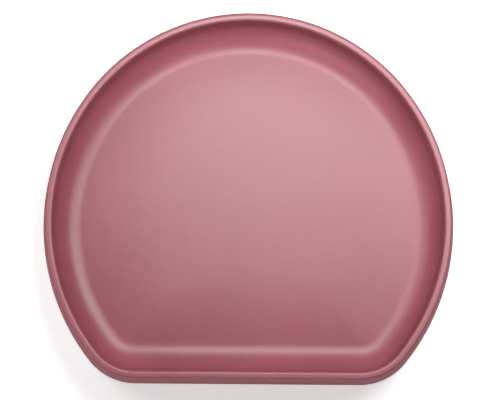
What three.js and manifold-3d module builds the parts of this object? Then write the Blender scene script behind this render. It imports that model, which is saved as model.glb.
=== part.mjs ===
// A suction bowl for a small child: a shallow D-shaped silicone bowl with a flat front edge, standing on a suction
// foot that plugs into its underside. Millimetres, +Z up. The origin is on the table, on the foot's axis, and the
// flat front edge faces -Y. Four pieces: the bowl, the foot's rigid core ring, its silicone cup and the release tab.
import * as THREE from "three";
import { mergeVertices } from "three/addons/utils/BufferGeometryUtils.js";
import Module from "manifold-3d";

const wasm = await Module();
wasm.setup();

// ---- Driving dimensions ----

const clearance = 0.3; // between faces that touch on the real object

// The bowl's outline at the rim, seen from above: a round back, slightly flatter sides and a straight front.
const width = 200;
const frontToBack = 179.6;
const crownRadius = 98.3; // the round back
const flankStart = THREE.MathUtils.degToRad(39); // where the back meets the sides, up from the +X direction
const flankTurn = THREE.MathUtils.degToRad(46); // the furthest that the sides curl in towards the front
const cornerRadius = 28; // where the sides meet the straight front

// The bowl's section.
const innerDepth = 24; // from the rim down to the bowl's floor
const rimWall = 3.7;
const rimFlat = 1.2; // the level band along the top of the rim
const innerLean = THREE.MathUtils.degToRad(5);
const coveRadius = 13; // between the inner wall and the floor
const floorThickness = 3; // at its edge
const floorCrown = 1.4; // how much the floor's middle stands above its edge
const crownShare = 0.45; // the outer part of the floor over which it falls away
const skirtLean = THREE.MathUtils.degToRad(2.2);
const skirtWall = 2.8;
const skirtGap = 3; // under the skirt, so that the foot can be pressed flat

// The plug joint between bowl and foot.
const plugRadius = 21.7;
const plugWall = 3.5;

// The rigid core ring inside the foot.
const coreCollarWall = 2.6;
const coreFlangeWidth = 9; // from the collar's bore to the flange's edge
const coreFlangeThickness = 1.6;
const keyHoles = 8; // silicone keys run through these and lock the core into the cup
const keyHoleRadius = 1.8;

// The silicone cup.
const cupRadius = 62;
const landWidth = 6; // the flat sealing band at the cup's edge
const lipThickness = 1.1;
const cavityHeight = 4.2;
const cavityFlatRadius = 30; // where the cavity's ceiling starts to slope down
const ceilingThickness = 1.8;
const hubSideWall = 3.2; // silicone round the core's flange
const hubRoof = 2.5; // silicone over the core's flange
const hubShoulder = 4.5; // height of the hub's side above the cup's slope

// The release tab and the opening in the skirt that a finger reaches it through.
const tabWidth = 22;
const tabLength = 19;
const tabThickness = 1.8;
const tabLift = 0.4; // under the tab
const tongueLength = 2; // the flat tongue on the cup's lip that the tab hangs from
const tabCorner = 5;
const rootCorner = 0.3;
const gripRibs = 3;
const gripRibHeight = 0.8;
const gripRibWidth = 1.4;
const gripRibPitch = 3.1;
const gripRibLength = 13;
const gripMargin = 4; // from the tab's end to the middle of the first rib
const scallopWidth = 70; // a smooth arch in the skirt's lower edge, at the back
const scallopHeight = 7;

// How finely round shapes are cut into flats.
const crownSteps = 32;
const flankSteps = 18;
const cornerSteps = 6;
const frontSteps = 4;
const floorSteps = 8; // rings over the outer part of the floor
const ringSteps = 64;
const keySteps = 12;
const slopeSteps = 8;

// ---- Sizes that follow from them ----

const flankCosine = Math.cos(flankStart);
const flankRadius = (width / 2 - crownRadius * flankCosine) / (1 - flankCosine);
const coreBore = plugRadius + clearance;
const collarRadius = coreBore + coreCollarWall;
const flangeRadius = coreBore + coreFlangeWidth;
const ceilingTop = cavityHeight + ceilingThickness;
const coreBottom = ceilingTop + clearance;
const flangeTop = coreBottom + coreFlangeThickness;
const hubTop = flangeTop + clearance + hubRoof;
const hubRadius = flangeRadius + clearance + hubSideWall;
const floorUnder = hubTop + clearance;
const floorTop = floorUnder + floorThickness;
const floorMiddle = floorTop + floorCrown;
const rimHeight = floorTop + innerDepth;
const keyCircle = (collarRadius + flangeRadius) / 2;
const tongueEnd = cupRadius + tongueLength;
const hingeRadius = tabThickness / 2;
const hingeY = tongueEnd + clearance + hingeRadius;
const hingeZ = tabLift + hingeRadius;

// ---- Solids ----

// A closed three.js geometry as a manifold-3d solid.
function solid(geometry) {
  const bare = geometry.clone();
  bare.deleteAttribute("normal");
  bare.deleteAttribute("uv");
  const merged = mergeVertices(bare, 1e-4);
  return new wasm.Manifold(
    new wasm.Mesh({
      numProp: 3,
      vertProperties: merged.attributes.position.array,
      triVerts: new Uint32Array(merged.index.array),
    }),
  );
}

// A manifold-3d solid as a three.js geometry.
function geometryOf(made) {
  const mesh = made.getMesh();
  return new THREE.BufferGeometry()
    .setAttribute("position", new THREE.BufferAttribute(mesh.vertProperties, 3))
    .setIndex(new THREE.BufferAttribute(mesh.triVerts, 1));
}

// A solid of revolution about Z from a closed profile of [radius, height] points that runs anticlockwise.
function turned(profile) {
  const points = [...profile, profile[0]].map(([r, z]) => new THREE.Vector2(r, z));
  return solid(new THREE.LatheGeometry(points, ringSteps).rotateX(Math.PI / 2));
}

// An upright block with rounded corners in plan, centred on x and y.
function slab(width, length, corner, bottom, top, x, y) {
  const shape = new THREE.Shape();
  const [w, l] = [width / 2, length / 2];
  shape.absarc(w - corner, l - corner, corner, 0, Math.PI / 2);
  shape.absarc(corner - w, l - corner, corner, Math.PI / 2, Math.PI);
  shape.absarc(corner - w, corner - l, corner, Math.PI, 1.5 * Math.PI);
  shape.absarc(w - corner, corner - l, corner, 1.5 * Math.PI, 2 * Math.PI);
  const settings = { depth: top - bottom, bevelEnabled: false, curveSegments: 8 };
  return solid(new THREE.ExtrudeGeometry(shape, settings).translate(x, y, bottom));
}

// Points along an arc, both ends included.
function arc(centre, radius, from, to, steps) {
  return Array.from({ length: steps + 1 }, (_, i) => {
    const angle = from + ((to - from) * i) / steps;
    return [centre[0] + radius * Math.cos(angle), centre[1] + radius * Math.sin(angle)];
  });
}

// ---- The bowl ----

// The D-shaped outline, moved in by inset. Anticlockwise from the middle of the front, and always with the same
// number of points, so that outlines can be joined up.
function outline(inset) {
  const crownCentre = [0, frontToBack / 2 - crownRadius];
  const between = crownRadius - flankRadius;
  const flankX = between * flankCosine;
  const flankY = crownCentre[1] + between * Math.sin(flankStart);
  // A bowl that is deep for its width has straight sides between the two halves of the flank.
  const straight = Math.max(0, flankY + frontToBack / 2 - flankRadius * Math.sin(flankTurn));
  const lowerY = flankY - straight;

  const front = inset - frontToBack / 2;
  const corner = cornerRadius - inset;
  const cornerY = front + corner;
  const rise = cornerY - lowerY;
  const reach = flankRadius - inset - corner;
  const cornerX = flankX + Math.sqrt(reach * reach - rise * rise);
  const flankEnd = Math.atan2(rise, cornerX - flankX);
  const lowerFlank = arc([flankX, lowerY], flankRadius - inset, flankEnd, 0, flankSteps / 2);
  const half = [
    ...Array.from({ length: frontSteps / 2 }, (_, i) => [(cornerX * i) / (frontSteps / 2), front]),
    ...arc([cornerX, cornerY], corner, -Math.PI / 2, flankEnd, cornerSteps).slice(0, -1),
    ...(straight > 0 ? lowerFlank : lowerFlank.slice(0, -1)),
    ...arc([flankX, flankY], flankRadius - inset, 0, flankStart, flankSteps / 2).slice(0, -1),
    ...arc(crownCentre, crownRadius - inset, flankStart, Math.PI / 2, crownSteps / 2),
  ];
  const mirrored = half.slice(1, -1).reverse();
  return [...half, ...mirrored.map(([x, y]) => [-x, y])];
}

// The bowl's section in four runs of [inset from the rim's outline, height]: the cove from the floor's edge up
// the inner wall, the rim, the hem at the foot of the skirt, and the underside of the cove back to the middle.
function bowlSection() {
  const rimRound = (rimWall - rimFlat) / 2;
  const rimCentre = [rimRound, rimHeight - rimRound];
  const flatEnd = rimRound + rimFlat;
  const coveZ = floorTop + coveRadius;
  const wallRun = (rimRound + coveRadius) / Math.cos(innerLean);
  const cove = [flatEnd + wallRun + (rimCentre[1] - coveZ) * Math.tan(innerLean), coveZ];

  // The skirt's outer face leans outwards from the rim, and its inner face runs parallel to it.
  const faceInset = (depth, z) => {
    const lean = (rimCentre[1] - z) * Math.tan(skirtLean);
    return rimRound - lean - (rimRound - depth) / Math.cos(skirtLean);
  };
  const hemRound = skirtWall / 2;
  const hem = [faceInset(hemRound, skirtGap + hemRound), skirtGap + hemRound];

  // The skirt's inner face ends where it meets the underside of the cove.
  const underRadius = coveRadius + floorThickness;
  let joinZ = coveZ;
  for (let i = 0; i < 40; i++) {
    const run = cove[0] - faceInset(skirtWall, joinZ);
    joinZ = coveZ - Math.sqrt(Math.max(underRadius * underRadius - run * run, 0));
  }
  const joinAngle = Math.atan2(joinZ - cove[1], faceInset(skirtWall, joinZ) - cove[0]);

  // The floor falls away steepest at its edge, and the cove starts at the same slope.
  const floorFall = Math.atan((2 * floorCrown) / (crownShare * 0.4 * width));

  return {
    inside: arc(cove, coveRadius, floorFall - Math.PI / 2, innerLean - Math.PI, 8),
    rim: [
      ...arc([flatEnd, rimCentre[1]], rimRound, innerLean, Math.PI / 2, 4),
      ...arc(rimCentre, rimRound, Math.PI / 2, Math.PI - skirtLean, 4),
    ],
    hem: arc(hem, hemRound, Math.PI - skirtLean, 2 * Math.PI - skirtLean, 6),
    underside: arc(cove, underRadius, joinAngle, -Math.PI / 2, 5),
  };
}

// How far the skirt's lower edge rises at a place on the outline: only in the scallop at the back.
function scallopAt(x, y) {
  const across = Math.min(Math.abs(x) / (scallopWidth / 2), 1);
  return y > 0 ? (scallopHeight * (1 + Math.cos(Math.PI * across))) / 2 : 0;
}

function bowl() {
  const { inside, rim, hem, underside } = bowlSection();
  const level = ([inset, z]) => outline(inset).map(([x, y]) => [x, y, z]);
  const scalloped = ([inset, z]) => outline(inset).map(([x, y]) => [x, y, z + scallopAt(x, y)]);
  // The floor's outer part, from its level middle out to the cove.
  const floorEdge = level(inside[0]);
  const floor = Array.from({ length: floorSteps }, (_, i) => {
    const along = i / floorSteps;
    const share = 1 - crownShare * (1 - along);
    return floorEdge.map(([x, y]) => [x * share, y * share, floorMiddle - floorCrown * along * along]);
  });
  const rings = [...floor, ...inside.map(level), ...rim.map(level), ...hem.map(scalloped), ...underside.map(level)];

  const count = rings[0].length;
  const index = [];
  for (let i = 0; i + 1 < rings.length; i++) {
    for (let j = 0; j < count; j++) {
      const here = i * count + j;
      const next = i * count + ((j + 1) % count);
      index.push(here, next + count, next, here, here + count, next + count);
    }
  }
  // The middle of the floor and its underside are flat, and close the section.
  const places = [...rings.flat(2), 0, 0, floorMiddle, 0, 0, floorUnder];
  const topMiddle = rings.length * count;
  const last = topMiddle - count;
  for (let j = 0; j < count; j++) {
    const next = (j + 1) % count;
    index.push(topMiddle, j, next, topMiddle + 1, last + next, last + j);
  }
  const shell = solid(
    new THREE.BufferGeometry()
      .setAttribute("position", new THREE.Float32BufferAttribute(places, 3))
      .setIndex(index),
  );

  // The plug is a ring that reaches down to the level of the core's underside.
  const plugBore = plugRadius - plugWall;
  const plug = turned([
    [plugBore, coreBottom],
    [plugRadius, coreBottom],
    [plugRadius, floorUnder + floorThickness / 2],
    [plugBore, floorUnder + floorThickness / 2],
  ]);
  return shell.add(plug);
}

// ---- The suction foot ----

function core() {
  const ring = turned([
    [coreBore, coreBottom],
    [flangeRadius, coreBottom],
    [flangeRadius, flangeTop],
    [collarRadius, flangeTop],
    [collarRadius, hubTop],
    [coreBore, hubTop],
  ]);
  return eachKey(keyHoleRadius, coreBottom - 1, flangeTop + 1).reduce((made, hole) => made.subtract(hole), ring);
}

// The upright cylinders through the core's flange: its holes, or the silicone keys that fill them.
function eachKey(radius, bottom, top) {
  return Array.from({ length: keyHoles }, (_, i) => {
    const angle = (2 * Math.PI * i) / keyHoles;
    return solid(
      new THREE.CylinderGeometry(radius, radius, top - bottom, keySteps)
        .rotateX(Math.PI / 2)
        .translate(keyCircle * Math.cos(angle), keyCircle * Math.sin(angle), (bottom + top) / 2),
    );
  });
}

// A slope from one height to another, level at both ends, as [radius, height] points.
function slope(fromRadius, fromHeight, toRadius, toHeight, steps) {
  return Array.from({ length: steps + 1 }, (_, i) => {
    const t = i / steps;
    const ease = t * t * (3 - 2 * t);
    return [fromRadius + (toRadius - fromRadius) * t, fromHeight + (toHeight - fromHeight) * ease];
  });
}

function cup() {
  const landRadius = cupRadius - landWidth;
  const pocketRadius = flangeRadius + clearance;
  const pocketTop = flangeTop + clearance;
  const body = turned([
    [0, cavityHeight],
    ...slope(cavityFlatRadius, cavityHeight, landRadius, 0, slopeSteps),
    [cupRadius, 0],
    [cupRadius, lipThickness],
    ...slope(landRadius, lipThickness, hubRadius, hubTop - hubShoulder, slopeSteps),
    [hubRadius, hubTop],
    [collarRadius + clearance, hubTop],
    [collarRadius + clearance, pocketTop],
    [pocketRadius, pocketTop],
    [pocketRadius, ceilingTop],
    [0, ceilingTop],
  ]);
  const tongue = slab(tabWidth, 2 * (landWidth + tongueLength), 1, 0, lipThickness, 0, cupRadius - landWidth);
  const keys = eachKey(keyHoleRadius - clearance, ceilingTop - 0.5, pocketTop + 0.5);
  return keys.reduce((made, key) => made.add(key), body.add(tongue));
}

function tab() {
  const top = tabLift + tabThickness;
  const blade = slab(tabWidth, tabLength, tabCorner, tabLift, top, 0, hingeY + tabLength / 2);
  const root = slab(tabWidth, tabLength / 2, rootCorner, tabLift, top, 0, hingeY + tabLength / 4);
  const knuckle = solid(
    new THREE.CylinderGeometry(hingeRadius, hingeRadius, tabWidth, keySteps)
      .rotateZ(Math.PI / 2)
      .translate(0, hingeY, hingeZ),
  );
  const ribs = Array.from({ length: gripRibs }, (_, i) => {
    const y = hingeY + tabLength - gripMargin - gripRibPitch * i;
    return slab(gripRibLength, gripRibWidth, 0.45 * gripRibWidth, hingeZ, top + gripRibHeight, 0, y);
  });
  return ribs.reduce((made, rib) => made.add(rib), blade.add(root).add(knuckle));
}

// ---- The assembly ----

const silicone = new THREE.MeshStandardMaterial({ color: 0xb8767f, roughness: 0.55, metalness: 0 });
const footSilicone = new THREE.MeshStandardMaterial({ color: 0xad6c76, roughness: 0.6, metalness: 0 });
const stiffPlastic = new THREE.MeshStandardMaterial({ color: 0xe6d9d4, roughness: 0.45, metalness: 0 });

function piece(name, made, material) {
  const mesh = new THREE.Mesh(geometryOf(made), material);
  mesh.name = name;
  return mesh;
}

const suctionBowl = new THREE.Group();
suctionBowl.add(
  piece("bowl", bowl(), silicone),
  piece("foot_core_ring", core(), stiffPlastic),
  piece("suction_cup", cup(), footSilicone),
  piece("release_tab", tab(), footSilicone),
);

export default suctionBowl;
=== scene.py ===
import math

import bmesh
import bpy
from mathutils import Matrix, Vector


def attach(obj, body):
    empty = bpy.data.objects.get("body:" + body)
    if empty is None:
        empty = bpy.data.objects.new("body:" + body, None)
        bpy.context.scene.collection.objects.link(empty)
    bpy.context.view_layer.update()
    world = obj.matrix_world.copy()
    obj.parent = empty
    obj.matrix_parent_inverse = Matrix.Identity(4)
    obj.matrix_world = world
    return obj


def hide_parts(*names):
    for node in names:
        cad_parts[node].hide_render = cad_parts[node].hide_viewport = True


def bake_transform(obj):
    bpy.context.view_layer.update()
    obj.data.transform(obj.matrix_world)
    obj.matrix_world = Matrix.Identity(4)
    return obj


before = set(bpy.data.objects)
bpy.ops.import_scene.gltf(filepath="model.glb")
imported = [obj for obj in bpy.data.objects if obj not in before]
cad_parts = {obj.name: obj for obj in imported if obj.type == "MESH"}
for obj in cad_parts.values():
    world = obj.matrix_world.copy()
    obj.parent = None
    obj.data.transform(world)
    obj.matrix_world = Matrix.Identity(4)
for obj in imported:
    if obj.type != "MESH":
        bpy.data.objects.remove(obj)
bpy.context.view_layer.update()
print("frame loaded:", ", ".join(sorted(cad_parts)))

millimetre = 0.001  # in metres


# Shader maths

class Value:  # a node's output that Python operators can work on
    def __init__(self, shader, socket):
        self.shader = shader
        self.socket = socket

    def apply(self, operation, first, second):
        return self.shader.add("ShaderNodeMath", {"operation": operation}, {0: first, 1: second})

    def __add__(self, other):
        return self.apply("ADD", self, other)

    def __radd__(self, other):
        return self.apply("ADD", other, self)

    def __sub__(self, other):
        return self.apply("SUBTRACT", self, other)

    def __rsub__(self, other):
        return self.apply("SUBTRACT", other, self)

    def __mul__(self, other):
        return self.apply("MULTIPLY", self, other)

    def __rmul__(self, other):
        return self.apply("MULTIPLY", other, self)


class Shader:  # one material and its nodes
    def __init__(self, name):
        self.material = bpy.data.materials.new(name)
        self.material.use_nodes = True
        self.tree = self.material.node_tree
        self.tree.nodes.clear()

    def add(self, kind, settings=None, sockets=None, output=0):
        node = self.tree.nodes.new(kind)
        for key, value in (settings or {}).items():
            setattr(node, key, value)
        for key, value in (sockets or {}).items():
            if isinstance(value, Value):
                self.tree.links.new(value.socket, node.inputs[key])
            else:
                node.inputs[key].default_value = value
        return Value(self, node.outputs[output] if node.outputs else None)

    def place(self):  # the piece's own coordinates, which move with it
        return self.add("ShaderNodeTexCoord", {}, {}, "Object")

    def mark(self, name):  # a number stored on the mesh's points
        return self.add("ShaderNodeAttribute", {"attribute_name": name}, {}, "Fac")

    def noise(self, place, size, detail=2.0, roughness=0.5):  # size is that of one blob
        scale = 1 / (size * millimetre)
        sockets = {"Vector": place, "Scale": scale, "Detail": detail, "Roughness": roughness}
        return self.add("ShaderNodeTexNoise", {}, sockets)

    def ramp(self, value, low, high):  # 0 below low, 1 above high
        sockets = {"Value": value, "From Min": low, "From Max": high}
        return self.add("ShaderNodeMapRange", {"interpolation_type": "SMOOTHSTEP"}, sockets)

    def mixColours(self, share, first, second):
        return self.add("ShaderNodeMix", {"data_type": "RGBA"}, {0: share, 6: first, 7: second}, 2)

    def finish(self, surface):
        self.add("ShaderNodeOutputMaterial", {}, {"Surface": surface})
        return self.material


# Silicone and plastic

def siliconeFinish(name, look):
    shader = Shader(name)
    place = shader.place()
    grain = shader.noise(place, look["grainSize"], 3.0, 0.6)
    peel = shader.noise(place, look["peelSize"], 1.0)
    ripple = shader.noise(place, look["rippleSize"], 1.0)
    cloud = shader.noise(place, look["cloudSize"], 4.0, 0.55)
    pigment = shader.ramp(shader.noise(place, look["pigmentSize"], 1.0), 0.3, 0.7)
    edge = shader.mark("edgeWear")
    matt = shader.mark("mattWall")

    base = shader.mixColours(shader.ramp(cloud, 0.3, 0.7), (*look["deep"], 1), (*look["pale"], 1))
    speckled = shader.mixColours(pigment * look["pigmentShare"], base, (*look["pigment"], 1))
    colour = shader.mixColours(edge * look["edgeShare"], speckled, (*look["edge"], 1))

    height = grain * look["grainHeight"] + peel * look["peelHeight"] + ripple * look["rippleHeight"]
    sockets = {"Height": height, "Distance": millimetre, "Strength": 1.0}
    normal = shader.add("ShaderNodeBump", {}, sockets)
    clouded = look["roughness"] + (cloud - 0.5) * look["cloudRoughness"]
    rough = clouded + (grain - 0.5) * look["grainRoughness"]
    polished = rough - edge * look["edgePolish"] + matt * look["mattRoughness"]
    return shader.finish(shader.add("ShaderNodeBsdfPrincipled", {}, {
        "Base Color": colour,
        "Roughness": polished,
        "Normal": normal,
        "IOR": look["ior"],
        "Specular IOR Level": look["specular"],
    }))


bowlLook = {
    "deep": (0.231, 0.062, 0.076),
    "pale": (0.252, 0.069, 0.085),
    "pigment": (0.30, 0.10, 0.12),
    "pigmentSize": 0.55,
    "pigmentShare": 0.10,
    "edge": (0.28, 0.09, 0.11),
    "edgeShare": 0.35,
    "cloudSize": 26,
    "cloudRoughness": 0.08,
    "grainSize": 0.45,
    "grainHeight": 0.035,
    "grainRoughness": 0.08,
    "peelSize": 2.2,
    "peelHeight": 0.03,
    "rippleSize": 30,
    "rippleHeight": 0.10,
    "roughness": 0.4,
    "edgePolish": 0.05,
    "mattRoughness": 0.55,
    "ior": 1.45,
    "specular": 0.5,
}
footLook = dict(
    bowlLook,
    deep=(0.19, 0.053, 0.064),
    pale=(0.215, 0.061, 0.074),
    roughness=0.48,
    rippleHeight=0.06,
)
plasticLook = {
    "deep": (0.72, 0.63, 0.60),
    "pale": (0.80, 0.72, 0.69),
    "sparkSize": 0.5,
    "sparkHeight": 0.02,
    "flowSize": 9,
    "roughness": 0.38,
    "flowRoughness": 0.12,
}


def plasticFinish(name, look):
    shader = Shader(name)
    place = shader.place()
    spark = shader.noise(place, look["sparkSize"], 2.0, 0.65)
    flow = shader.noise(place, look["flowSize"], 3.0)
    colour = shader.mixColours(shader.ramp(flow, 0.3, 0.7), (*look["deep"], 1), (*look["pale"], 1))
    sockets = {"Height": spark * look["sparkHeight"], "Distance": millimetre, "Strength": 1.0}
    normal = shader.add("ShaderNodeBump", {}, sockets)
    rough = look["roughness"] + (flow - 0.5) * look["flowRoughness"] + (spark - 0.5) * 0.1
    return shader.finish(shader.add("ShaderNodeBsdfPrincipled", {}, {
        "Base Color": colour,
        "Roughness": rough,
        "Normal": normal,
        "IOR": 1.49,
    }))


bowlSilicone = siliconeFinish("bowlSilicone", bowlLook)
footSilicone = siliconeFinish("footSilicone", footLook)
corePlastic = plasticFinish("corePlastic", plasticLook)
print("materials made")


# Curves and skins

def arcPoints(centre, radius, start, end, steps):  # both ends included, angles in radians
    turns = [start + (end - start) * i / steps for i in range(steps + 1)]
    return [(centre[0] + radius * math.cos(a), centre[1] + radius * math.sin(a)) for a in turns]


def linePoints(start, end, steps):  # the points between two ends, without the ends
    shares = [i / steps for i in range(1, steps)]
    return [tuple(a + (b - a) * t for a, b in zip(start, end)) for t in shares]


def ease(t):
    t = min(max(t, 0.0), 1.0)
    return t * t * (3 - 2 * t)


def roundedLine(corners, steps):  # corners are (x, y, rounding radius); sharp corners have radius 0
    points = []
    for i, (x, y, radius) in enumerate(corners):
        if radius == 0 or i in (0, len(corners) - 1):
            points.append((x, y))
            continue
        here = Vector((x, y))
        back = (Vector(corners[i - 1][:2]) - here).normalized()
        ahead = (Vector(corners[i + 1][:2]) - here).normalized()
        half = back.angle(ahead) / 2
        reach = radius / math.tan(half)
        centre = here + (back + ahead).normalized() * (radius / math.sin(half))
        first = here + back * reach - centre
        sweep = math.pi - 2 * half
        if back.cross(ahead) > 0:
            sweep = -sweep
        for k in range(steps + 1):
            turned = Matrix.Rotation(sweep * k / steps, 2) @ first
            points.append(tuple(centre + turned))
    return points


def skinMesh(name, rings, firstPoint=None, lastPoint=None):  # rings all have the same number of points
    count = len(rings[0])
    points = [point for ring in rings for point in ring]
    faces = []
    for i in range(len(rings) - 1):
        for j in range(count):
            here = i * count + j
            beside = i * count + (j + 1) % count
            faces.append((here, beside, beside + count, here + count))
    for end, start in ((firstPoint, 0), (lastPoint, (len(rings) - 1) * count)):
        if end is not None:
            points.append(end)
            tip = len(points) - 1
            faces += [(tip, start + j, start + (j + 1) % count) for j in range(count)]
    mesh = bpy.data.meshes.new(name)
    mesh.from_pydata([Vector(point) * millimetre for point in points], [], faces)
    return mesh


def facingOut(mesh):
    form = bmesh.new()
    form.from_mesh(mesh)
    bmesh.ops.recalc_face_normals(form, faces=form.faces)
    form.to_mesh(mesh)
    form.free()
    return mesh


def addPiece(name, mesh, material):
    facingOut(mesh)
    mesh.shade_smooth()
    piece = bpy.data.objects.new(name, mesh)
    bpy.context.scene.collection.objects.link(piece)
    mesh.materials.append(material)
    return piece


def markPoints(piece, name, values):  # a number for each of the mesh's points, for its material to read
    attribute = piece.data.attributes.new(name, "FLOAT", "POINT")
    attribute.data.foreach_set("value", values)


def turnedRings(profile, angles):
    return [[(r * math.cos(a), r * math.sin(a), z) for a in angles] for r, z in profile]


# The bowl

bowlSizes = {
    "width": 200,
    "frontToBack": 179.6,
    "crownRadius": 98.3,
    "flankStart": 39,
    "cornerRadius": 28,
    "rimHeight": 38,
    "floorTop": 14,
    "floorUnder": 11,
    "rimWall": 3.7,
    "rimFlat": 1.2,
    "innerLean": 5,
    "coveRadius": 13,
    "crownHeight": 1.4,
    "crownShare": 0.45,
    "floorReach": 0.4,  # from the middle to the floor's edge, as a share of the width
    "skirtLean": 2.2,
    "skirtWall": 2.8,
    "skirtGap": 3,
    "scallopWidth": 70,
    "scallopHeight": 7,
    "plugRadius": 21.7,
    "plugBore": 18.2,
    "plugBottom": 6.3,
}
bowlSteps = {"front": 10, "corner": 18, "flank": 30, "crown": 56, "cove": 30, "rim": 12, "hem": 12, "wall": 5}


def bowlOutline(inset):  # the rim's outline moved in, anticlockwise from the middle of the flat front
    flank = math.radians(bowlSizes["flankStart"])
    crownRadius = bowlSizes["crownRadius"]
    flankRadius = (bowlSizes["width"] / 2 - crownRadius * math.cos(flank)) / (1 - math.cos(flank))
    crown = (0, bowlSizes["frontToBack"] / 2 - crownRadius)
    between = crownRadius - flankRadius
    side = (between * math.cos(flank), crown[1] + between * math.sin(flank))
    front = inset - bowlSizes["frontToBack"] / 2
    corner = bowlSizes["cornerRadius"] - inset
    rise = front + corner - side[1]
    cornerX = side[0] + math.sqrt((flankRadius - inset - corner) ** 2 - rise ** 2)
    turn = math.atan2(rise, cornerX - side[0])
    half = [(cornerX * i / bowlSteps["front"], front) for i in range(bowlSteps["front"])]
    half += arcPoints((cornerX, front + corner), corner, -math.pi / 2, turn, bowlSteps["corner"])[:-1]
    half += arcPoints(side, flankRadius - inset, turn, flank, bowlSteps["flank"])[:-1]
    half += arcPoints(crown, crownRadius - inset, flank, math.pi / 2, bowlSteps["crown"])
    return half + [(-x, y) for x, y in half[-2:0:-1]]


def scallopAt(x, y):  # how far the hem rises behind the bowl, for a finger to reach the tab
    across = min(abs(x) / (bowlSizes["scallopWidth"] / 2), 1)
    return bowlSizes["scallopHeight"] * (1 + math.cos(math.pi * across)) / 2 if y > 0 else 0


def bowlRing(inset, z, rise=0.0):  # rise is the share of the scallop that this level takes up
    return [(x, y, z + rise * scallopAt(x, y)) for x, y in bowlOutline(inset)]


def roundRing(radius, z):  # a circle whose points lie in the same directions as the outline's
    turns = [math.atan2(y, x) for x, y in bowlOutline(0)]
    return [(radius * math.cos(a), radius * math.sin(a), z) for a in turns]


def ringsBetween(first, last, shares):
    return [[tuple(a + (b - a) * t for a, b in zip(p, q)) for p, q in zip(first, last)] for t in shares]


def crownSlope():  # how steeply the floor falls away at its edge, as the middle stands a little proud
    run = bowlSizes["crownShare"] * bowlSizes["width"] * bowlSizes["floorReach"]
    return math.atan(2 * bowlSizes["crownHeight"] / run)


def bowlSection():  # four runs of (inset, height): the cove, the rim, the hem and the underside of the cove
    rimRound = (bowlSizes["rimWall"] - bowlSizes["rimFlat"]) / 2
    lean = math.radians(bowlSizes["innerLean"])
    outward = math.radians(bowlSizes["skirtLean"])
    rimCentre = (rimRound, bowlSizes["rimHeight"] - rimRound)
    coveRadius = bowlSizes["coveRadius"]
    coveZ = bowlSizes["floorTop"] + coveRadius
    flatEnd = rimRound + bowlSizes["rimFlat"]
    coveInset = flatEnd + (rimRound + coveRadius) / math.cos(lean) + (rimCentre[1] - coveZ) * math.tan(lean)

    def faceInset(depth, z):
        return rimRound - (rimCentre[1] - z) * math.tan(outward) - (rimRound - depth) / math.cos(outward)

    hemRound = bowlSizes["skirtWall"] / 2
    hemZ = bowlSizes["skirtGap"] + hemRound
    hemCentre = (faceInset(hemRound, hemZ), hemZ)
    underRadius = coveRadius + bowlSizes["floorTop"] - bowlSizes["floorUnder"]
    joinZ = coveZ
    for _ in range(40):
        run = coveInset - faceInset(bowlSizes["skirtWall"], joinZ)
        joinZ = coveZ - math.sqrt(max(underRadius ** 2 - run ** 2, 0))
    joinAngle = math.atan2(joinZ - coveZ, faceInset(bowlSizes["skirtWall"], joinZ) - coveInset)

    slope = crownSlope()
    cove = arcPoints((coveInset, coveZ), coveRadius, slope - math.pi / 2, lean - math.pi, bowlSteps["cove"])
    rim = arcPoints((flatEnd, rimCentre[1]), rimRound, lean, math.pi / 2, bowlSteps["rim"])
    rim += arcPoints(rimCentre, rimRound, math.pi / 2, math.pi - outward, bowlSteps["rim"])
    hem = arcPoints(hemCentre, hemRound, math.pi - outward, 2 * math.pi - outward, bowlSteps["hem"])
    under = arcPoints((coveInset, coveZ), underRadius, joinAngle, -math.pi / 2, bowlSteps["cove"])
    return cove, rim, hem, under


bowlMarks = {
    "wearDepth": 1.6,  # how far the wear reaches down from the rim and up from the hem
    "wearFade": 1.4,
    "skirtInside": 60,  # nearer the middle than this there is no hem
    "mattRings": 8,  # the rings over which the outer wall turns matt
}


def bowlWear(x, y, z):  # the rim and the hem are handled most
    depth = bowlMarks["wearDepth"]
    rim = ease((z - bowlSizes["rimHeight"] + depth) / bowlMarks["wearFade"])
    if math.hypot(x, y) <= bowlMarks["skirtInside"]:
        return rim
    return max(rim, 1 - ease((z - scallopAt(x, y) - bowlSizes["skirtGap"]) / depth))


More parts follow.
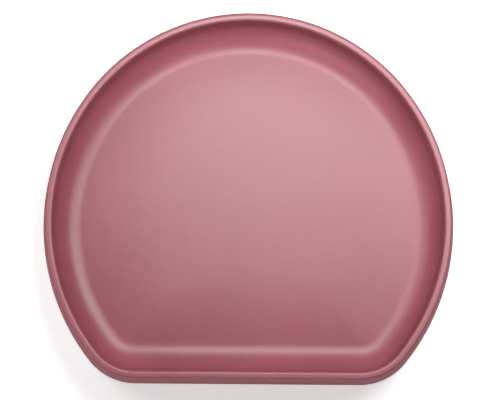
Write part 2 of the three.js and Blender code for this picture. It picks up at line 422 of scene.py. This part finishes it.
def makeBowl():
    cove, rim, hem, under = bowlSection()
    wall = bowlSteps["wall"]
    floorEdge = bowlRing(*cove[0])
    middle = cove[0][1] + bowlSizes["crownHeight"]
    start = 1 - bowlSizes["crownShare"]
    shares = (0.12, 0.3, start - 0.06)
    floorRings = [[(x * share, y * share, middle) for x, y, _ in floorEdge] for share in shares]
    for i in range(bowlSteps["crown"] // 4):
        fall = i / (bowlSteps["crown"] // 4)
        share = start + (1 - start) * fall
        z = middle - bowlSizes["crownHeight"] * fall ** 2
        floorRings.append([(x * share, y * share, z) for x, y, _ in floorEdge])
    rings = floorRings + [bowlRing(*point) for point in cove]
    rings += [bowlRing(*point) for point in linePoints(cove[-1], rim[0], wall)]
    rings += [bowlRing(*point) for point in rim]
    down = linePoints(rim[-1], hem[0], 4 * wall)
    rings += [bowlRing(inset, z, (i + 1) / (4 * wall)) for i, (inset, z) in enumerate(down)]
    rings += [bowlRing(inset, z, 1) for inset, z in hem]
    up = linePoints(hem[-1], under[0], 4 * wall)
    rings += [bowlRing(inset, z, 1 - (i + 1) / (4 * wall)) for i, (inset, z) in enumerate(up)]
    rings += [bowlRing(*point) for point in under]

    radius, bore = bowlSizes["plugRadius"], bowlSizes["plugBore"]
    top, bottom = bowlSizes["floorUnder"], bowlSizes["plugBottom"]
    plug = roundedLine([
        (radius + 1, top, 0),
        (radius, top, 0.25),
        (radius, bottom, 0.7),
        (bore, bottom, 0.7),
        (bore, top, 0.6),
        (2, top, 0),
    ], 5)
    spread = (0.97, 0.92, 0.82, 0.66, 0.48, 0.3, 0.14, 0.05)
    rings += ringsBetween(roundRing(plug[0][0], top), bowlRing(*under[-1]), spread)
    rings += [roundRing(r, z) for r, z in plug]
    mesh = skinMesh("bowlSkin", rings, (0, 0, middle), (0, 0, top))
    piece = addPiece("bowlShell", mesh, bowlSilicone)
    worn = [bowlWear(*(v.co / millimetre)) for v in mesh.vertices]
    outside = len(floorRings) + len(cove) + wall - 1 + len(rim) // 2
    last = outside + len(rim) // 2 + 4 * wall + len(hem)
    ringOf = [i // len(floorEdge) for i in range(len(mesh.vertices))]
    matt = [ease((i - outside) / bowlMarks["mattRings"]) if i < last else 0.0 for i in ringOf]
    markPoints(piece, "edgeWear", worn)
    markPoints(piece, "mattWall", matt)
    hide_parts("bowl")
    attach(piece, "bowl")


makeBowl()
print("bowl made")


# The suction foot

coreSizes = {
    "bore": 22,
    "collarRadius": 24.6,
    "flangeRadius": 31,
    "bottom": 6.3,
    "flangeTop": 7.9,
    "top": 10.7,
    "keyHoles": 8,
    "keyHoleRadius": 1.8,
    "keyCircle": 27.8,
    "steps": 128,
}
cupSizes = {
    "radius": 62,
    "landRadius": 56,
    "lipThickness": 1.1,
    "cavityHeight": 4.2,
    "cavityFlatRadius": 30,
    "ceilingTop": 6.0,
    "hubRadius": 34.5,
    "hubShoulder": 6.2,
    "hubTop": 10.7,
    "collarHole": 24.9,
    "pocketRadius": 31.3,
    "pocketTop": 8.2,
    "keyRadius": 1.5,
    "tongueEnd": 64,
    "tongueHalf": 11,
    "steps": 180,
    "slopeSteps": 26,
    "tongueSpacing": 0.006,  # radians between the points near the tongue
    "tongueSteps": 44,
}


def uprights(radius, bottom, top, steps):  # the closed cylinders through the core's flange, as one mesh
    form = bmesh.new()
    for i in range(coreSizes["keyHoles"]):
        turn = 2 * math.pi * i / coreSizes["keyHoles"]
        x = coreSizes["keyCircle"] * math.cos(turn)
        y = coreSizes["keyCircle"] * math.sin(turn)
        lower = [(x + px, y + py, bottom) for px, py in arcPoints((0, 0), radius, 0, 2 * math.pi, steps)[:-1]]
        corners = [form.verts.new(Vector(point) * millimetre) for point in lower]
        raised = [form.verts.new(Vector((px, py, top)) * millimetre) for px, py, _ in lower]
        form.faces.new(corners)
        form.faces.new(raised)
        for j in range(steps):
            k = (j + 1) % steps
            form.faces.new((corners[j], corners[k], raised[k], raised[j]))
    bmesh.ops.recalc_face_normals(form, faces=form.faces)
    mesh = bpy.data.meshes.new("uprights")
    form.to_mesh(mesh)
    form.free()
    return mesh


def combine(mesh, other, operation):  # one mesh cut by, or joined to, another
    scratch = [bpy.data.objects.new("scratch", m) for m in (mesh, other)]
    for item in scratch:
        bpy.context.scene.collection.objects.link(item)
    cut = scratch[0].modifiers.new("combine", "BOOLEAN")
    cut.operation = operation
    cut.solver = "EXACT"
    cut.object = scratch[1]
    graph = bpy.context.evaluated_depsgraph_get()
    made = bpy.data.meshes.new_from_object(scratch[0].evaluated_get(graph))
    for item in scratch:
        bpy.data.objects.remove(item)
    return made


def makeCore():
    profile = roundedLine([
        (coreSizes["bore"], coreSizes["bottom"] + 1.5, 0),
        (coreSizes["bore"], coreSizes["bottom"], 0.3),
        (coreSizes["flangeRadius"], coreSizes["bottom"], 0.3),
        (coreSizes["flangeRadius"], coreSizes["flangeTop"], 0.3),
        (coreSizes["collarRadius"], coreSizes["flangeTop"], 0.25),
        (coreSizes["collarRadius"], coreSizes["top"], 0.5),
        (coreSizes["bore"], coreSizes["top"], 0.7),
        (coreSizes["bore"], coreSizes["bottom"] + 1.6, 0),
    ], 5)
    angles = [2 * math.pi * i / coreSizes["steps"] for i in range(coreSizes["steps"])]
    rings = turnedRings(profile, angles)
    ring = skinMesh("coreSkin", rings + rings[:1])
    form = bmesh.new()
    form.from_mesh(ring)
    bmesh.ops.remove_doubles(form, verts=form.verts, dist=1e-7)  # joins the last ring to the first
    form.to_mesh(ring)
    form.free()
    facingOut(ring)
    holes = uprights(coreSizes["keyHoleRadius"], coreSizes["bottom"] - 1, coreSizes["flangeTop"] + 1, 24)
    mesh = combine(ring, holes, "DIFFERENCE")
    mesh.materials.clear()
    piece = addPiece("coreRing", mesh, corePlastic)
    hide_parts("foot_core_ring")
    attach(piece, "core")


def slopeLine(start, end, steps):  # level at both ends, without the ends themselves
    shares = [i / steps for i in range(1, steps)]
    return [(start[0] + (end[0] - start[0]) * t, start[1] + (end[1] - start[1]) * ease(t)) for t in shares]


def cupEdge(turn):  # the lip's outer radius, drawn out into the tab's tongue at the back
    away = abs((turn - math.pi / 2 + math.pi) % (2 * math.pi) - math.pi)
    if away > 0.5:
        return cupSizes["radius"]
    across = cupSizes["radius"] * math.sin(away)
    drawn = 1 - ease((across - (cupSizes["tongueHalf"] - 1.2)) / 1.6)
    tongue = cupSizes["tongueEnd"] / math.cos(away)
    return cupSizes["radius"] + (tongue - cupSizes["radius"]) * drawn


def makeCup():
    s = cupSizes
    under = [(4, s["cavityHeight"]), (14, s["cavityHeight"]), (23, s["cavityHeight"])]
    under += [(s["cavityFlatRadius"], s["cavityHeight"])]
    under += slopeLine((s["cavityFlatRadius"], s["cavityHeight"]), (s["landRadius"], 0), s["slopeSteps"])
    under += [(s["landRadius"], 0), (58, 0), (60, 0)]
    lip = roundedLine([
        (60.5, 0, 0),
        (s["radius"], 0, 0.25),
        (s["radius"], s["lipThickness"], 0.5),
        (60.5, s["lipThickness"], 0),
    ], 5)
    upper = [(59, s["lipThickness"]), (57.5, s["lipThickness"]), (s["landRadius"], s["lipThickness"])]
    shoulder = (s["hubRadius"] + 1.4, s["hubShoulder"])
    upper += slopeLine((s["landRadius"], s["lipThickness"]), shoulder, s["slopeSteps"])
    hub = roundedLine([
        (shoulder[0], shoulder[1], 0),
        (s["hubRadius"], s["hubShoulder"] + 0.12, 1.3),
        (s["hubRadius"], s["hubTop"], 1.2),
        (s["collarHole"], s["hubTop"], 0.4),
        (s["collarHole"], s["pocketTop"], 0.2),
        (s["pocketRadius"], s["pocketTop"], 0.3),
        (s["pocketRadius"], s["ceilingTop"], 0.3),
        (20, s["ceilingTop"], 0),
    ], 6)
    inner = [(12, s["ceilingTop"]), (4, s["ceilingTop"])]
    back = math.pi / 2
    fine, many = s["tongueSpacing"], s["tongueSteps"]
    angles = [2 * math.pi * i / s["steps"] for i in range(s["steps"])]
    angles = [a for a in angles if abs(a - back) > (many + 0.5) * fine]
    angles = sorted(angles + [back + fine * i for i in range(-many, many + 1)])
    rings = []
    for r, z in under + lip + upper + hub + inner:
        out = ease((r - s["landRadius"]) / (s["radius"] - s["landRadius"]))
        radii = [r + (cupEdge(a) - s["radius"]) * out for a in angles]
        rings.append([(q * math.cos(a), q * math.sin(a), z) for q, a in zip(radii, angles)])
    skin = facingOut(skinMesh("cupSkin", rings, (0, 0, s["cavityHeight"]), (0, 0, s["ceilingTop"])))
    keys = uprights(s["keyRadius"], s["ceilingTop"] - 0.5, s["pocketTop"] + 0.5, 20)
    mesh = combine(skin, keys, "UNION")
    mesh.materials.clear()
    piece = addPiece("suctionCup", mesh, footSilicone)
    heights = [v.co.z / millimetre for v in mesh.vertices]
    markPoints(piece, "edgeWear", [ease((z - s["hubTop"] + 0.9) / 0.8) for z in heights])
    markPoints(piece, "mattWall", [0.0] * len(heights))
    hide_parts("suction_cup")
    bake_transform(piece)


makeCore()
makeCup()
print("suction foot made")


# The release tab

tabSizes = {
    "start": 62.4,
    "end": 84.2,
    "halfWidth": 11,
    "rootHalf": 10.2,
    "cornerRadius": 5,
    "bottom": 0.4,
    "top": 2.2,
    "edgeRound": 0.75,
    "ribs": 3,
    "ribHeight": 0.8,
    "ribHalf": 0.8,
    "ribPitch": 3.1,
    "ribHalfLength": 6.5,
    "ribMargin": 4,
    "stationGap": 0.16,
}


def ribHeightAt(x, y):
    reach = tabSizes["ribHalf"]
    over = max(0, abs(x) - (tabSizes["ribHalfLength"] - reach))
    for i in range(tabSizes["ribs"]):
        along = y - (tabSizes["end"] - tabSizes["ribMargin"] - tabSizes["ribPitch"] * i)
        inside = 1 - (along * along + over * over) / reach ** 2
        if inside > 0:
            return tabSizes["ribHeight"] * math.sqrt(inside)
    return 0


def tabLoop(y):  # the tab's outline across, at one place along it
    s = tabSizes
    rise = ease((y - s["start"] - 0.4) / 3.6)
    bottom = 0.2 + (s["bottom"] - 0.2) * rise
    top = 0.9 + (s["top"] - 0.9) * rise
    half = s["rootHalf"] + (s["halfWidth"] - s["rootHalf"]) * ease((y - s["start"]) / 3)
    left = s["end"] - y
    if left < s["cornerRadius"]:
        into = s["cornerRadius"] - left
        half -= s["cornerRadius"] - math.sqrt(max(s["cornerRadius"] ** 2 - into ** 2, 0))
    edge = min(s["edgeRound"], (top - bottom) / 2 - 0.02)
    tip = 0
    if left < edge:
        tip = edge - math.sqrt(max(edge ** 2 - (edge - left) ** 2, 0))
    bottom, top, half = bottom + tip, top - tip, half - tip
    edge = max(min(edge, (top - bottom) / 2 - 0.01), 0.01)
    loop = []
    steps = 44
    for i in range(steps + 1):
        x = (half - edge) * (1 - 2 * i / steps)
        loop.append((x, y, top + (ribHeightAt(x, y) if tip == 0 else 0)))
    loop += [(x, y, z) for x, z in arcPoints((edge - half, top - edge), edge, math.pi / 2, math.pi, 5)[1:]]
    loop += [(x, y, z) for x, z in arcPoints((edge - half, bottom + edge), edge, math.pi, 1.5 * math.pi, 5)]
    for i in range(1, 12):
        loop.append(((half - edge) * (2 * i / 12 - 1), y, bottom))
    loop += [(x, y, z) for x, z in arcPoints((half - edge, bottom + edge), edge, -math.pi / 2, 0, 5)]
    loop += [(x, y, z) for x, z in arcPoints((half - edge, top - edge), edge, 0, math.pi / 2, 5)[:-1]]
    return loop


def makeTab():
    s = tabSizes
    span = s["end"] - s["start"]
    count = round(span / s["stationGap"])
    places = [s["start"] + span * i / count for i in range(count)]
    places += [s["end"] - gap for gap in (0.1, 0.05, 0.02, 0.004)]
    rings = [tabLoop(y) for y in sorted(places)]
    middle = (s["bottom"] + s["top"]) / 2
    mesh = skinMesh("tabSkin", rings, (0, s["start"], 0.55), (0, s["end"], middle))
    piece = addPiece("releaseTab", mesh, footSilicone)
    heights = [v.co.z / millimetre for v in mesh.vertices]
    markPoints(piece, "edgeWear", [ease((z - s["top"]) / s["ribHeight"]) for z in heights])
    markPoints(piece, "mattWall", [0.0] * len(heights))
    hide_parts("release_tab")
    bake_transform(piece)


makeTab()
print("release tab made")


# Floor, lights and camera

stageLook = {
    "floorHalf": 9000,
    "colour": (0.90, 0.90, 0.90, 1),
    "glowNear": 0.5,
    "glowFar": 0.93,
    "glowFrom": 180,
    "glowTo": 700,
    "skyStrength": 0.02,
}
softBoxes = {  # place, target, side and watts of each soft box over the table
    "overhead": ((0, 80, 340), (0, 80, 0), 120, 0.95),
    "rightHand": ((180, 60, 350), (180, 60, 0), 160, 1.1),
    "leftHand": ((-280, 100, 350), (-280, 100, 0), 200, 0.7),
    "front": ((-350, -600, 350), (0, 0, 20), 500, 1.5),
}
cameraSetting = {
    "aim": (0.7, -2, 36),
    "tilt": 3.8,
    "roll": 0.46,
    "distance": 4000,
    "sensor": 36,
    "frameWidth": 245.1,
}


def addFloor():
    half = stageLook["floorHalf"] * millimetre
    mesh = bpy.data.meshes.new("floorMesh")
    corners = [(-half, -half, 0), (half, -half, 0), (half, half, 0), (-half, half, 0)]
    mesh.from_pydata(corners, [], [(0, 1, 2, 3)])
    shader = Shader("paleFloor")
    place = shader.place()
    away = shader.add("ShaderNodeVectorMath", {"operation": "LENGTH"}, {0: place}, "Value")
    far = shader.ramp(away, stageLook["glowFrom"] * millimetre, stageLook["glowTo"] * millimetre)
    glow = stageLook["glowNear"] + far * (stageLook["glowFar"] - stageLook["glowNear"])
    white = (1, 1, 1, 1)
    mesh.materials.append(shader.finish(shader.add("ShaderNodeBsdfPrincipled", {}, {
        "Base Color": stageLook["colour"],
        "Roughness": 0.9,
        "Emission Color": shader.mixColours(glow, (0, 0, 0, 1), white),
        "Emission Strength": 1.0,
    })))
    floor = bpy.data.objects.new("floor", mesh)
    bpy.context.scene.collection.objects.link(floor)


def addLamp(name, place, target, side, watts):
    lamp = bpy.data.lights.new(name, "AREA")
    lamp.shape = "SQUARE"
    lamp.size = side * millimetre
    lamp.energy = watts
    holder = bpy.data.objects.new(name, lamp)
    bpy.context.scene.collection.objects.link(holder)
    holder.location = Vector(place) * millimetre
    direction = (Vector(target) - Vector(place)).normalized()
    holder.rotation_euler = direction.to_track_quat("-Z", "Y").to_euler()
    holder.visible_camera = False


def addLights():
    for name, (place, target, side, watts) in softBoxes.items():
        addLamp(name, place, target, side, watts)
    world = bpy.data.worlds.new("studio")
    bpy.context.scene.world = world
    world.use_nodes = True
    background = world.node_tree.nodes["Background"]
    background.inputs["Color"].default_value = (1, 1, 1, 1)
    background.inputs["Strength"].default_value = stageLook["skyStrength"]


def addCamera():
    tilt = math.radians(cameraSetting["tilt"])
    roll = math.radians(cameraSetting["roll"])
    distance = cameraSetting["distance"] * millimetre
    camera = bpy.data.cameras.new("camera")
    camera.sensor_width = cameraSetting["sensor"]
    camera.lens = cameraSetting["sensor"] * distance / (cameraSetting["frameWidth"] * millimetre)
    camera.clip_end = 100
    holder = bpy.data.objects.new("camera", camera)
    bpy.context.scene.collection.objects.link(holder)
    aim = Vector(cameraSetting["aim"]) * millimetre
    place = aim + distance * Vector((0, -math.sin(tilt), math.cos(tilt)))
    turn = Matrix.Rotation(tilt, 4, "X") @ Matrix.Rotation(roll, 4, "Z")
    holder.matrix_world = Matrix.Translation(place) @ turn
    bpy.context.scene.camera = holder


addFloor()
addLights()
addCamera()
bpy.context.scene.view_settings.view_transform = "Standard"
print("stage made")
